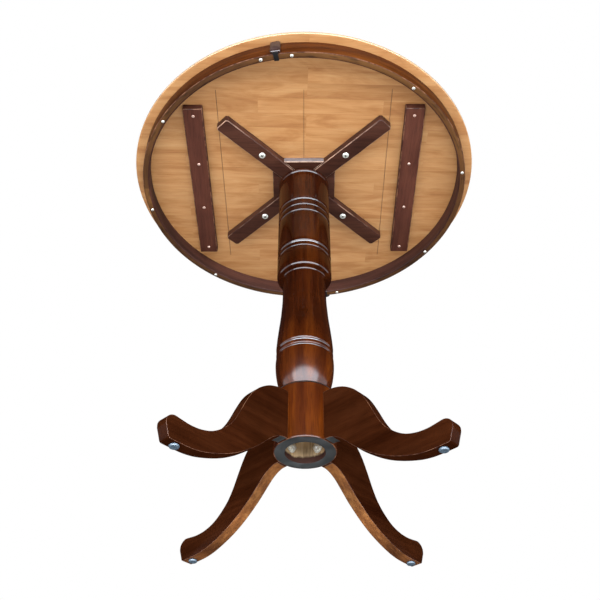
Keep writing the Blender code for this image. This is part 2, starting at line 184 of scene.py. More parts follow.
# ---------------------------------------------------------------- material helpers
class Tree:
    """Small wrapper that keeps node code short."""

    def __init__(self, name):
        self.mat = bpy.data.materials.new(name)
        self.mat.use_nodes = True
        self.nt = self.mat.node_tree
        self.bsdf = self.nt.nodes["Principled BSDF"]

    def put(self, kind, inputs, **settings):
        node = self.nt.nodes.new(kind)
        for key, value in settings.items():
            setattr(node, key, value)
        for key, value in inputs.items():
            self.feed(node.inputs[key], value)
        return node

    def feed(self, socket, value):
        if isinstance(value, bpy.types.NodeSocket):
            self.nt.links.new(value, socket)
        else:
            socket.default_value = value

    def set(self, **values):
        for key, value in values.items():
            self.feed(self.bsdf.inputs[key.replace("_", " ")], value)

    def math(self, op, a, b):
        return self.put("ShaderNodeMath", {0: a, 1: b}, operation=op).outputs[0]

    def weighted(self, *terms):
        """Sum of value times weight over the terms."""
        total = self.math("MULTIPLY", *terms[0])
        for value, weight in terms[1:]:
            total = self.math("ADD", total, self.math("MULTIPLY", value, weight))
        return total

    def noise(self, vector, scale=1.0, detail=4.0, rough=0.55, distort=0.0):
        return self.put("ShaderNodeTexNoise", {"Vector": vector, "Scale": scale, "Detail": detail,
                                               "Roughness": rough, "Distortion": distort}).outputs[0]

    def ramp(self, fac, stops):
        node = self.put("ShaderNodeValToRGB", {"Fac": fac})
        elements = node.color_ramp.elements
        while len(elements) < len(stops):
            elements.new(0.5)
        for element, (position, colour) in zip(elements, stops):
            element.position = position
            element.color = (*colour, 1.0)
        return node.outputs[0]

    def remap(self, value, lo, hi, out_lo, out_hi):
        return self.put("ShaderNodeMapRange", {0: value, 1: lo, 2: hi, 3: out_lo, 4: out_hi}).outputs[0]

    def mix(self, fac, a, b, blend="MIX"):
        node = self.put("ShaderNodeMix", {0: fac, 6: a, 7: b}, data_type="RGBA", blend_type=blend)
        return node.outputs[2]

    def tint(self, colour, red, green, blue):
        """Colour with each channel multiplied by its own factor."""
        factors = self.put("ShaderNodeCombineColor", {0: red, 1: green, 2: blue}).outputs[0]
        return self.mix(1.0, colour, factors, "MULTIPLY")

    def shade(self, colour, factor):
        return self.tint(colour, factor, factor, factor)

    def bump(self, height, strength, distance):
        node = self.put("ShaderNodeBump", {"Height": height, "Strength": strength, "Distance": distance})
        self.nt.links.new(node.outputs[0], self.bsdf.inputs["Normal"])

    def position(self, ring_radius=None):
        """Object coordinates, or (arc length, radius, height) for wood bent round a ring."""
        coords = self.put("ShaderNodeTexCoord", {}).outputs["Object"]
        if ring_radius is None:
            return coords
        xyz = self.put("ShaderNodeSeparateXYZ", {0: coords})
        angle = self.math("ARCTAN2", xyz.outputs[1], xyz.outputs[0])
        radius = self.put("ShaderNodeVectorMath", {0: coords}, operation="LENGTH").outputs["Value"]
        return self.put("ShaderNodeCombineXYZ", {0: self.math("MULTIPLY", angle, ring_radius),
                                                 1: radius, 2: xyz.outputs[2]}).outputs[0]

    def height(self):
        return self.put("ShaderNodeSeparateXYZ", {0: self.position()}).outputs[2]

    def scaled(self, vector, scale, rotation=(0.0, 0.0, 0.0)):
        return self.put("ShaderNodeMapping", {"Vector": vector, "Scale": scale,
                                              "Rotation": rotation}).outputs[0]


def wood(name, tones, along, rough, coat=0.0, coat_rough=0.08, ring=None, rotation=(0.0, 0.0, 0.0),
         pore=0.5, grime_and_shade=0.25, specular=0.10, relief=0.2, painted_low_light=1.0):
    """Long-grained wood from its dark, middle and light tones; painted_low_light brightens its lower end
    with painted light.
    """
    t = Tree(name)
    pos = t.position(ring)

    def stretched(along_scale, across_scale):
        scale = [across_scale] * 3
        scale[along] = along_scale
        return t.scaled(pos, scale, rotation)

    bands = t.noise(stretched(1.6, 14.0), 1.0, 3.0, 0.55, 0.6)
    streaks = t.noise(stretched(5.0, 95.0), 1.0, 6.0, 0.62, 0.3)
    pores = t.noise(stretched(28.0, 620.0), 1.0, 2.0, 0.5)
    patch = t.noise(pos, 9.0, 3.0, 0.6)
    colour = t.ramp(t.weighted((bands, 0.62), (streaks, 0.38)), list(zip((0.36, 0.50, 0.66), tones)))
    colour = t.shade(colour, t.remap(pores, 0.30, 0.48, 1.0 - pore, 1.0))
    # Noise blotches: grime in most woods; in the bore they are painted shadow.
    colour = t.shade(colour, t.remap(patch, 0.25, 0.75, 1.0 - grime_and_shade, 1.0 + grime_and_shade * 0.4))
    # Painted light: below 0.47 m the colour is brightened, fully at 0.30 m and lower, for light falling on
    # the lower column.
    if painted_low_light != 1.0:
        height, full, none, blue_share = t.height(), 0.30, 0.47, 0.2
        gain = t.remap(height, full, none, painted_low_light, 1.0)
        blue_gain = t.remap(height, full, none, 1.0 + blue_share * (painted_low_light - 1.0), 1.0)
        colour = t.tint(colour, gain, gain, blue_gain)
    t.set(Base_Color=colour, Roughness=t.remap(patch, 0.3, 0.7, rough - 0.06, rough + 0.08),
          Coat_Weight=coat, Coat_Roughness=coat_rough, Specular_IOR_Level=specular)
    t.bump(t.weighted((pores, 0.5), (streaks, 0.5)), relief, 0.0006)
    return t


def stave_wood(name, rough, coat):
    """Panel glued from narrow finger-jointed staves running along X, blotchy golden brown."""
    t = Tree(name)
    pos = t.position()
    xyz = t.put("ShaderNodeSeparateXYZ", {0: pos})
    flat = t.put("ShaderNodeCombineXYZ", {0: xyz.outputs[0], 1: xyz.outputs[1], 2: 0.0}).outputs[0]
    staves = t.put("ShaderNodeTexBrick", {"Vector": flat, "Color1": (0, 0, 0, 1), "Color2": (1, 1, 1, 1),
                                          "Mortar": (0.5, 0.5, 0.5, 1), "Scale": 1.0,
                                          "Mortar Size": 0.0002, "Mortar Smooth": 0.2,
                                          "Brick Width": 0.43, "Row Height": 0.0455},
                   offset=0.39, offset_frequency=3, squash=0.74, squash_frequency=2)
    stave_tone, joint = staves.outputs[0], staves.outputs[1]
    shift = t.scaled(stave_tone, (0.9, 0.4, 1.3))
    moved = t.put("ShaderNodeVectorMath", {0: pos, 1: shift}, operation="ADD").outputs[0]
    blotch = t.noise(t.scaled(moved, (4.5, 17.0, 17.0)), 1.0, 4.0, 0.58, 1.6)
    bands = t.noise(t.scaled(moved, (2.4, 42.0, 42.0)), 1.0, 5.0, 0.6, 1.1)
    streaks = t.noise(t.scaled(moved, (6.0, 210.0, 210.0)), 1.0, 4.0, 0.6, 0.2)
    pores = t.noise(t.scaled(moved, (22.0, 700.0, 700.0)), 1.0, 2.0, 0.5)
    colour = t.ramp(t.weighted((blotch, 0.56), (bands, 0.30), (streaks, 0.14)),
                    [(0.30, (0.255, 0.098, 0.030)), (0.43, (0.345, 0.152, 0.050)),
                     (0.53, (0.415, 0.203, 0.074)), (0.72, (0.480, 0.268, 0.112))])
    colour = t.shade(colour, t.remap(stave_tone, 0.0, 1.0, 0.94, 1.05))
    colour = t.shade(colour, t.remap(pores, 0.28, 0.42, 0.78, 1.0))
    colour = t.shade(colour, t.remap(joint, 0.0, 1.0, 1.0, 0.88))
    t.set(Base_Color=colour, Roughness=t.remap(streaks, 0.3, 0.7, rough - 0.05, rough + 0.08),
          Coat_Weight=coat, Coat_Roughness=0.15, Specular_IOR_Level=0.25)
    t.bump(t.math("SUBTRACT", t.math("MULTIPLY", pores, 0.6), joint), 0.15, 0.0005)
    return t.mat


def simple(name, colour, rough, metal=0.0, vary=0.2, scale=60.0, coat=0.0, bump=0.1):
    """Plastic, paint or metal with small uneven tone and roughness."""
    t = Tree(name)
    n = t.noise(t.position(), scale, 5.0, 0.6)
    lo = tuple(c * (1.0 - vary) for c in colour)
    hi = tuple(min(1.0, c * (1.0 + vary)) for c in colour)
    t.set(Base_Color=t.ramp(n, [(0.3, lo), (0.7, hi)]), Metallic=metal,
          Roughness=t.remap(n, 0.3, 0.7, rough * 0.8, min(1.0, rough * 1.25)), Coat_Weight=coat)
    t.bump(n, bump, 0.0003)
    return t.mat


def worn_edge_and_highlight(name, pale, base, scale, cover):
    """Edge with pale patches where the finish has rubbed through, which also stand for painted highlight
    along the edge.
    """
    t = Tree(name)
    n = t.noise(t.position(), scale, 5.0, 0.65)
    t.set(Base_Color=t.ramp(n, [(cover - 0.12, pale), (cover + 0.10, base)]), Roughness=0.42,
          Specular_IOR_Level=0.15)
    return t.mat


# ---------------------------------------------------------------- materials
TOP_WOOD = stave_wood("top_staves", 0.44, 0.2)
# Painted shade: the saw kerfs get a dark colour instead of raw wood.
KERF_SHADE_WOOD = simple("kerf_wood_painted_shade", (0.16, 0.085, 0.04), 0.85)
APRON_OUT = wood("apron_face", ((0.030, 0.0062, 0.0008), (0.062, 0.0145, 0.0014), (0.115, 0.031, 0.0032)),
                 ALONG_X, 0.40, coat=0.15, coat_rough=0.2, ring=0.43, specular=0.05).mat
APRON_IN = wood("apron_inside", ((0.028, 0.0088, 0.0052), (0.050, 0.0160, 0.0095), (0.078, 0.026, 0.015)),
                ALONG_X, 0.55, ring=0.42, pore=0.35).mat
APRON_EDGE = wood("apron_raw_edge", ((0.042, 0.0150, 0.0040), (0.090, 0.034, 0.0080), (0.160, 0.068, 0.018)),
                  ALONG_X, 0.60, ring=0.42, pore=0.55).mat
BATTEN_WOOD = wood("batten_stain",
                   ((0.042, 0.0105, 0.0052), (0.066, 0.0175, 0.0088), (0.096, 0.028, 0.0140)),
                   ALONG_Y, 0.62, pore=0.3).mat
CROSS_TONES = ((0.026, 0.0080, 0.0044), (0.046, 0.0145, 0.0078), (0.070, 0.024, 0.0130))
CROSS_A, CROSS_B = (wood("cross_stain_" + letter, CROSS_TONES, ALONG_X, 0.45, coat=0.12, coat_rough=0.2,
                         rotation=(0, 0, math.radians(deg)), pore=0.35).mat
                    for letter, deg in (("a", -45.0), ("b", 45.0)))
COLUMN_TONES = ((0.012, 0.0020, 0.0004), (0.026, 0.0048, 0.0008), (0.056, 0.0125, 0.0018))
# Painted light: both column woods brighten towards the bulb and hub by painted_low_light.
COLUMN_WOOD, HUB_WOOD = (wood(name, COLUMN_TONES, ALONG_Z, 0.40, coat=coat, coat_rough=coat_rough, pore=0.4,
                              grime_and_shade=0.3, specular=0.0, relief=0.05, painted_low_light=2.2).mat
                         for name, coat, coat_rough in (("column_mahogany", 0.45, 0.10),
                                                        ("hub_mahogany", 0.38, 0.20)))
# Painted shade: near-black colour in the grooves and on the hub's top shoulder.
GROOVE_SHADE_PAINT = simple("groove_painted_shade", (0.0070, 0.0024, 0.0012), 0.35, coat=0.5)
LEG_WOOD = wood("leg_mahogany", ((0.015, 0.0032, 0.0009), (0.026, 0.0062, 0.0018), (0.041, 0.0108, 0.0034)),
                ALONG_X, 0.45, coat=0.03, coat_rough=0.16, rotation=(0, math.radians(-28), 0), pore=0.35,
                grime_and_shade=0.3, specular=0.0, relief=0.1).mat
LEG_UNDER_WOOD = wood("leg_underside",
                      ((0.070, 0.0200, 0.0050), (0.175, 0.062, 0.0155), (0.36, 0.155, 0.046)),
                      ALONG_X, 0.45, coat=0.1, coat_rough=0.16, pore=0.45, grime_and_shade=0.6).mat
# Pale edge patches: rubbed finish together with painted highlight along edges.
WORN_HIGHLIGHT_DARK = worn_edge_and_highlight("worn_and_highlight_edge_dark", (0.20, 0.088, 0.046), (0.034, 0.0105, 0.0060), 45.0, 0.47)
WORN_HIGHLIGHT_CROSS = worn_edge_and_highlight("worn_and_highlight_cross_edge", (0.36, 0.21, 0.14), (0.036, 0.0115, 0.0065), 11.0, 0.44)
# Front filler edges: pale patches of wear and painted reflection.
WORN_REFLECTION_PALE = worn_edge_and_highlight("worn_and_reflection_edge_pale", (0.48, 0.32, 0.23), (0.070, 0.026, 0.0150), 30.0, 0.54)
# Painted highlight: the pale colour of the upright rim band.
RIM_HIGHLIGHT = simple("rim_band_painted_highlight", (0.46, 0.29, 0.16), 0.35, vary=0.12, scale=25.0, coat=0.4)
# Front filler face: bluish grey of dust and painted sheen.
DUST_AND_SHEEN_FACE = simple("filler_dust_and_sheen_face", (0.105, 0.082, 0.080), 0.5, vary=0.35, scale=90.0)
BLOCK_PAINT = simple("block_brown_stain", (0.026, 0.0105, 0.0075), 0.34, coat=0.3)
CLIP_METAL = simple("clip_black_metal", (0.010, 0.009, 0.009), 0.4, metal=0.3)
ZINC = simple("zinc_plate", (0.62, 0.60, 0.53), 0.36, metal=0.45, vary=0.12, scale=220.0, bump=0.15)
BRASSY = simple("batten_screw_metal", (0.62, 0.40, 0.31), 0.40, metal=0.4, vary=0.15, scale=220.0, bump=0.15)
RECESS_SHADE = simple("drive_recess_painted_shade", (0.045, 0.038, 0.032), 0.6, metal=0.3)
# Painted shade: dark colour inside the cross recesses of screw heads.
GLIDE_PLASTIC = simple("glide_plastic", (0.055, 0.080, 0.105), 0.36, vary=0.15, scale=120.0)
HUB_PAINT = simple("hub_dark_paint", (0.028, 0.029, 0.029), 0.50, vary=0.45, scale=26.0)


def bore_wood():
    """Raw wood inside the hub, with ragged overspray of stain near the opening and dark noise patches of
    painted shadow.
    """
    # grime_and_shade=0.7 paints patches of shadow in the bore.
    t = wood("bore_raw_wood", ((0.30, 0.16, 0.07), (0.62, 0.42, 0.22), (0.80, 0.62, 0.38)), ALONG_Z, 0.8,
             grime_and_shade=0.7)
    raw = t.bsdf.inputs["Base Color"].links[0].from_socket
    edge = t.weighted((t.height(), 1.0), (t.noise(t.position(), 55.0, 4.0, 0.6), 0.022))
    overspray = (0.030, 0.0085, 0.0040, 1.0)
    t.set(Base_Color=t.mix(t.remap(edge, 0.160, 0.166, 0.0, 1.0), overspray, raw))
    return t.mat


RAW_WOOD = bore_wood()

# ---------------------------------------------------------------- tabletop
# (radius, height) of the moulded edge, from the upper face to the underside
TOP_EDGE = [(0.4400, 1.0170), (0.4430, 1.0163), (0.4440, 1.0145), (0.4447, 1.0095), (0.4475, 1.0050),
            (0.4520, 1.0020), (0.4555, 1.0005), (0.4570, 0.9985), (0.4570, 0.9940), (0.4560, 0.9924),
            (0.4540, 0.9920)]
KERF_X, KERF_Y, KERF_SIZE = (-0.22, 0.0, 0.22), -0.005, (0.0013, 0.59, 0.0125)
KERF_DEPTH = 0.0030


def rim_highlight_band(r, z):
    """The upright band low on the rim has its own paler colour: a painted highlight."""
    return 2 if r > 0.4564 and z < 0.9988 else 0


def tabletop():
    upper_face = [(r, TOP_Z) for r in (0.0, 0.15, 0.30, 0.42)]
    underside = [(r, UNDER_Z) for r in (0.40, 0.25, 0.12, 0.0)]
    top = lathe("tabletop_panel", upper_face + smooth(TOP_EDGE, 3) + underside, 192,
                [TOP_WOOD, KERF_SHADE_WOOD, RIM_HIGHLIGHT], rim_highlight_band)
    kerfs = bmesh.new()
    for x in KERF_X:
        box_cutter(kerfs, (x, KERF_Y, UNDER_Z + KERF_DEPTH - KERF_SIZE[2] / 2), KERF_SIZE)
    bmesh.ops.transform(kerfs, matrix=spin(TOP_TURN), verts=kerfs.verts)
    carve(top, kerfs, KERF_SHADE_WOOD)
    stand_for(top, "tabletop")


tabletop()

# ---------------------------------------------------------------- apron halves
APRON_R1, APRON_R0 = 0.434, 0.417      # outer and inner radius
SEAMS = (-100.5, 79.5)                 # degrees: front and back seam
SEAM_GAP = 0.04                        # degrees left open at each end of a half


def apron_half(name, start_deg, node):
    """Half ring with eased edges; face, inside and raw lower edge have their own finishes."""
    face, inside, edge, worn_highlight_line = range(4)
    e, f = 0.0014, 0.0034              # easing of the outer and inner lower edge
    # The outer lower edge line has pale patches: wear and painted highlight.
    section = [(APRON_R0, FIXED_Z, inside), (APRON_R0, APRON_Z + f * 0.7, inside),
               (APRON_R0 + f * 0.3, APRON_Z + f * 0.25, inside), (APRON_R0 + f, APRON_Z, edge),
               (APRON_R1 - e, APRON_Z, worn_highlight_line), (APRON_R1 - e * 0.3, APRON_Z + e * 0.3, worn_highlight_line),
               (APRON_R1, APRON_Z + e, face), (APRON_R1, FIXED_Z, inside)]
    steps = 96
    bm = bmesh.new()
    rings = []
    for k in range(steps + 1):
        a = math.radians(start_deg + SEAM_GAP + (180.0 - 2 * SEAM_GAP) * k / steps)
        rings.append([bm.verts.new((r * math.cos(a), r * math.sin(a), z)) for r, z, _ in section])
    for a, b in zip(rings, rings[1:]):
        for j, (_, _, finish) in enumerate(section):
            m = (j + 1) % len(section)
            bm.faces.new((a[j], a[m], b[m], b[j])).material_index = finish
    bm.faces.new(rings[0]).material_index = edge
    bm.faces.new(list(reversed(rings[-1]))).material_index = edge
    bmesh.ops.recalc_face_normals(bm, faces=bm.faces)
    stand_for(to_object(name, bm, [APRON_OUT, APRON_IN, APRON_EDGE, WORN_HIGHLIGHT_DARK]), node)


apron_half("apron_half_right", SEAMS[0], "apron_right")
apron_half("apron_half_left", SEAMS[1], "apron_left")

# ---------------------------------------------------------------- seam blocks and clips
BLOCK_HALF_W, BLOCK_R = 0.0125, 0.4420
CLIP_T, CLIP_HALF_W, CLIP_OUTER_R, CLIP_RISE, CLIP_BEND = 0.0015, 0.006, 0.4400, 0.011, 0.0016


def seam_block(side, deg):
    """Block that covers the seam outside; the four corners of its face are well rounded."""
    stand_up = Matrix(((0, 0, 1, 0), (1, 0, 0, 0), (0, 1, 0, 0), (0, 0, 0, 1)))
    low, high = APRON_Z + 0.0002, UNDER_Z - 0.0004
    bm = prism([(-BLOCK_HALF_W, low), (BLOCK_HALF_W, low), (BLOCK_HALF_W, high), (-BLOCK_HALF_W, high)],
               APRON_R1 + 0.0002, BLOCK_R, spin(deg) @ stand_up)
    outward = spin(deg) @ Vector((1, 0, 0))
    corners = [e for e in bm.edges
               if abs((e.verts[1].co - e.verts[0].co).normalized().dot(outward)) > 0.9]
    round_edges(bm, corners, 0.006, 5)
    ease(bm, 0.0022, 4)
    stand_for(to_object("seam_block_piece_" + side, bm, [BLOCK_PAINT]), "seam_block_" + side)


def seam_clip(side, deg):
    """Bent metal strip under the seam that turns up inside the apron."""
    z, r = APRON_Z - 0.0003, APRON_R0 - 0.0007

    def side_line(out):
        """One side of the strip, as far out from its inner side as given."""
        bend = CLIP_BEND + out
        corner = [(r + CLIP_BEND - bend * math.sin(a), z + CLIP_BEND - bend * math.cos(a))
                  for a in (0.4, 0.8, 1.2)]
        return [(CLIP_OUTER_R, z - out), (r + CLIP_BEND, z - out), *corner,
                (r - out, z + CLIP_BEND), (r - out, z + CLIP_RISE)]

    bm = prism(side_line(CLIP_T) + side_line(0.0)[::-1], -CLIP_HALF_W, CLIP_HALF_W,
               spin(deg) @ Matrix.Rotation(math.radians(90), 4, "X"))
    ease(bm, 0.0004)
    stand_for(to_object("seam_clip_piece_" + side, bm, [CLIP_METAL]), "seam_clip_" + side)


for side, deg in (("front", SEAMS[0]), ("back", SEAMS[1])):
    seam_block(side, deg)
    seam_clip(side, deg)

# ---------------------------------------------------------------- battens
BATTEN_X, BATTEN_HALF_W, BATTEN_HALF_L = 0.281, 0.025, 0.257
for side, sign in (("left", -1), ("right", 1)):
    x0, x1 = sign * BATTEN_X - BATTEN_HALF_W, sign * BATTEN_X + BATTEN_HALF_W
    bm = prism([(x0, -BATTEN_HALF_L), (x1, -BATTEN_HALF_L), (x1, BATTEN_HALF_L), (x0, BATTEN_HALF_L)],
               BATTEN_Z, FIXED_Z, spin(TOP_TURN))
    ease(bm, 0.0022, 3, material=1)
    stand_for(to_object("batten_piece_" + side, bm, [BATTEN_WOOD, WORN_HIGHLIGHT_DARK]),
              "batten_" + side)

# ---------------------------------------------------------------- half-lapped cross
HALF_W, REACH, CORNER = 0.021, 0.298, 0.005
LAP_Z, LAP_GAP, PLAY = 0.98085, 0.00015, 0.0006
CUT_LOW, CUT_HIGH = 0.96, 1.0          # the notch cutters run out past both faces of a bar
FILLER_REACH = 0.084


def cross_bar(name, deg, lap_down, mat, node):
    """Bar with clipped corners, notched half through at the middle."""
    outline = [(REACH, -HALF_W + CORNER), (REACH, HALF_W - CORNER), (REACH - CORNER, HALF_W),
               (-REACH + CORNER, HALF_W), (-REACH, HALF_W - CORNER), (-REACH, -HALF_W + CORNER),
               (-REACH + CORNER, -HALF_W), (REACH - CORNER, -HALF_W)]
    bm = prism(outline, CROSS_Z, FIXED_Z)
    ease(bm, 0.0018, 3, material=1)
    bar = to_object(name, bm, [mat, WORN_HIGHLIGHT_CROSS])
    notch = bmesh.new()
    low, high = (LAP_Z - LAP_GAP, CUT_HIGH) if lap_down else (CUT_LOW, LAP_Z + LAP_GAP)
    box_cutter(notch, (0, 0, (low + high) / 2), (HALF_W * 2 + PLAY, 0.1, high - low))
    carve(bar, notch)
    bar.data.transform(spin(deg + TOP_TURN))
    stand_for(bar, node)


def cross_filler(side, deg):
    """Three-cornered piece between two arms; the front one has a bluish-grey face of dust and painted sheen,
    and paler edges that are rubbed and painted reflection.
    """
    apex = HALF_W * math.sqrt(2.0) + PLAY
    bm = prism([(apex, 0.0), (FILLER_REACH, apex - FILLER_REACH), (FILLER_REACH, FILLER_REACH - apex)],
               FILLER_Z, FIXED_Z, spin(deg + TOP_TURN))
    outward = spin(deg + TOP_TURN) @ Vector((1, 0, 0))
    front = side == "front"
    for face in bm.faces:
        if front and face.normal.dot(outward) > 0.9:
            face.material_index = 2
    ease(bm, 0.0016, material=1)
    mats = [CROSS_A, WORN_REFLECTION_PALE if front else WORN_HIGHLIGHT_CROSS, DUST_AND_SHEEN_FACE]
    stand_for(to_object("cross_filler_piece_" + side, bm, mats), "cross_filler_" + side)


cross_bar("cross_bar_piece_a", 45.0, True, CROSS_A, "cross_bar_a")
cross_bar("cross_bar_piece_b", 135.0, False, CROSS_B, "cross_bar_b")
for side, deg in (("right", 0.0), ("back", 90.0), ("left", 180.0), ("front", 270.0)):
    cross_filler(side, deg)

# ---------------------------------------------------------------- screws and bolts
SCREW_RING, SCREW_FIRST, SCREW_STEP = 0.4255, 5.0, 42.5      # radius, then degrees from the front seam
BATTEN_SCREW_X, BATTEN_SCREW_Y = 0.280, (-0.235, -0.078, 0.078, 0.235)
CROSS_BOLT_XY = 0.110


def head_mesh(name, radius, height, shank, length, mat, dish=0.75):
    """Pan head hanging below z = 0 with a cross recess; the shank goes up."""
    dome = [(radius, -0.0001), (radius, -height * 0.35), (radius * 0.97, -height * 0.55),
            (radius * 0.88, -height * 0.78), (radius * dish, -height * 0.92), (radius * 0.4, -height),
            (0.0, -height)]
    head = lathe(name, [(0.0, length), (shank, length - 0.003), (shank, -0.0001)] + dome, 32,
                 [mat, RECESS_SHADE])
    arm, wide = radius * 0.50, radius * 0.13
    plus = [(arm, -wide), (arm, wide), (wide, wide), (wide, arm), (-wide, arm), (-wide, wide),
            (-arm, wide), (-arm, -wide), (-wide, -wide), (-wide, -arm), (wide, -arm), (wide, -wide)]
    carve(head, prism(plus, -height * 1.2, -height * 0.35), RECESS_SHADE)
    return mesh_of(head)


def turned_xy(x, y):
    v = spin(TOP_TURN) @ Vector((x, y, 0.0))
    return v.x, v.y


apron_head = head_mesh("apron_screw_mesh", 0.0040, 0.0022, 0.0020, 0.050, ZINC)
angles = [math.radians(SEAMS[0] + sign * (SCREW_FIRST + SCREW_STEP * k))
          for sign in (1, -1) for k in range(5)]
for number, a in enumerate(angles, 1):
    place(apron_head, "apron_screw_piece_%02d" % number, SCREW_RING * math.cos(a), SCREW_RING * math.sin(a),
          APRON_Z, 1.7 * number, "zinc_steel", "apron_screw_%02d" % number)

batten_head = head_mesh("batten_screw_mesh", 0.0038, 0.0018, 0.0020, 0.028, BRASSY)
spots = [(sign * BATTEN_SCREW_X, y) for sign in (-1, 1) for y in BATTEN_SCREW_Y]
for number, (x, y) in enumerate(spots, 1):
    place(batten_head, "batten_screw_piece_%d" % number, *turned_xy(x, y), BATTEN_Z, 2.3 * number,
          "screw_brass", "batten_screw_%d" % number)

bolt_head = head_mesh("cross_bolt_mesh", 0.0085, 0.0042, 0.0032, 0.034, ZINC, 0.8)
spots = [(sx * CROSS_BOLT_XY, sy * CROSS_BOLT_XY) for sx in (-1, 1) for sy in (-1, 1)]
for number, (x, y) in enumerate(spots, 1):
    place(bolt_head, "cross_bolt_piece_%d" % number, *turned_xy(x, y), CROSS_Z, 1.1 * number,
          "zinc_steel", "cross_bolt_%d" % number)

# ---------------------------------------------------------------- turned column
# (height, radius) down the outside of each length; joints fall in grooves
ROD_HOLE, INSIDE_R, GROOVE_R = 0.006, 0.030, 0.0640
SHAFT_TOP, JOINT_HI, JOINT_LO, JOINT_GAP = 0.9697, 0.8298, 0.6980, 0.0003
HUB_Z, BORE_R, BORE_TOP = 0.1360, 0.0430, 0.2120
EXT_UPPER = [(SHAFT_TOP, 0.0645), (0.9690, 0.0662), (0.9675, 0.0670), (0.9650, 0.0668), (0.9620, 0.0658),
             (0.9597, 0.0642), (0.9588, 0.0634), (0.9578, 0.0634), (0.9572, 0.0655), (0.9560, 0.0668),
             (0.8640, 0.0668), (0.8610, 0.0667), (0.8580, 0.0662), (0.8553, 0.0652), (0.8536, 0.0638),
             (0.8528, 0.0632), (0.8518, 0.0634), (0.8511, 0.0655), (0.8500, 0.0666), (0.8400, 0.0668),
             (0.8365, 0.0666), (0.8340, 0.0660), (0.8318, 0.0649), (0.8308, 0.0638),
             (JOINT_HI + JOINT_GAP, 0.0634)]
EXT_LOWER = [(JOINT_HI, 0.0634), (0.8290, 0.0652), (0.8278, 0.0666), (0.8262, 0.0670), (0.8180, 0.0670),
             (0.8148, 0.0668), (0.8122, 0.0661), (0.8103, 0.0650), (0.8092, 0.0637), (0.8084, 0.0632),
             (0.8074, 0.0636), (0.8068, 0.0658), (0.8056, 0.0669), (0.7130, 0.0671), (0.7090, 0.0670),
             (0.7055, 0.0664), (0.7026, 0.0654), (0.7004, 0.0640), (JOINT_LO + JOINT_GAP, 0.0632)]
CAP = [(JOINT_LO, 0.0632), (0.6972, 0.0650), (0.6960, 0.0666), (0.6944, 0.0672), (0.6890, 0.0672),
       (0.6862, 0.0668), (0.6842, 0.0659), (0.6830, 0.0646), (0.6822, 0.0636), (0.6810, 0.0636),
       (0.6803, 0.0658), (0.6790, 0.0671), (0.6330, 0.0673), (0.6290, 0.0670), (0.6252, 0.0659),
       (0.6224, 0.0640), (0.6208, 0.0612), (0.6199, 0.0575), (0.6176, 0.0545), (0.6135, 0.0532)]
VASE = [(0.6060, 0.0527), (0.5900, 0.0525), (0.5650, 0.0527), (0.5450, 0.0532), (0.5270, 0.0544),
        (0.5080, 0.0557), (0.4890, 0.0574), (0.4710, 0.0594), (0.4530, 0.0614), (0.4350, 0.0632),
        (0.4180, 0.0646), (0.4060, 0.0654), (0.4005, 0.0652), (0.3968, 0.0642), (0.3945, 0.0624),
        (0.3928, 0.0618), (0.3918, 0.0622), (0.3912, 0.0642), (0.3898, 0.0651), (0.3850, 0.0652),
        (0.3822, 0.0645), (0.3804, 0.0630), (0.3790, 0.0619), (0.3776, 0.0622), (0.3769, 0.0642),
        (0.3755, 0.0652)]
BULB = [(0.3690, 0.0659), (0.3600, 0.0662), (0.3500, 0.0659), (0.3400, 0.0652), (0.3300, 0.0640),
        (0.3200, 0.0625), (0.3110, 0.0606), (0.3020, 0.0582), (0.2940, 0.0553), (0.2870, 0.0519),
        (0.2820, 0.0490), (0.2795, 0.0480), (0.2780, 0.0490)]
HUB = [(0.2774, 0.0560), (0.2770, 0.0630), (0.2755, 0.0655), (0.2725, 0.0668), (0.2690, 0.0670),
       (0.2300, 0.0670), (0.1900, 0.0670), (0.1400, 0.0670)]
PLAIN, SHADE_DARKENED, RAW, PAINTED, RUBBED_HIGHLIGHT, SATIN = range(6)
SHAFT_FINISHES = [COLUMN_WOOD, GROOVE_SHADE_PAINT]
PEDESTAL_FINISHES = SHAFT_FINISHES + [RAW_WOOD, HUB_PAINT, WORN_HIGHLIGHT_DARK, HUB_WOOD]


def shaft_finish(r, z):
    """Near-black painted shade gathers in the grooves of the two upper lengths."""
    return SHADE_DARKENED if INSIDE_R < r < GROOVE_R else PLAIN


def pedestal_finish(r, z):
    """Raw bore, painted end face, grooves and the hub's top shoulder darkened as painted shade, and a softer
    sheen from the bulb down.
    """
    if r < BORE_R + 0.0011 and HUB_Z + 0.0002 < z < BORE_TOP + 0.0005:
        return RAW
    if z < HUB_Z + 0.0006:
        # The outer rim of the end face has pale patches: wear and painted highlight.
        return PAINTED if r < 0.0652 else RUBBED_HIGHLIGHT
    if r < INSIDE_R:
        return PLAIN
    groove = r < GROOVE_R and (z > 0.675 or 0.3915 < z < 0.3945 or 0.3772 < z < 0.3800)
    shoulder = 0.2715 < z < 0.2800
    if groove or shoulder:
        return SHADE_DARKENED
    return SATIN if z < 0.3925 else PLAIN


def turned(name, profile, inside, mats, pick, node):
    outside = [(r, z) for z, r in smooth(profile, 3)]
    stand_for(lathe(name, outside + inside, 144, mats, pick, closed=True, smooth_deg=40.0),
              node)


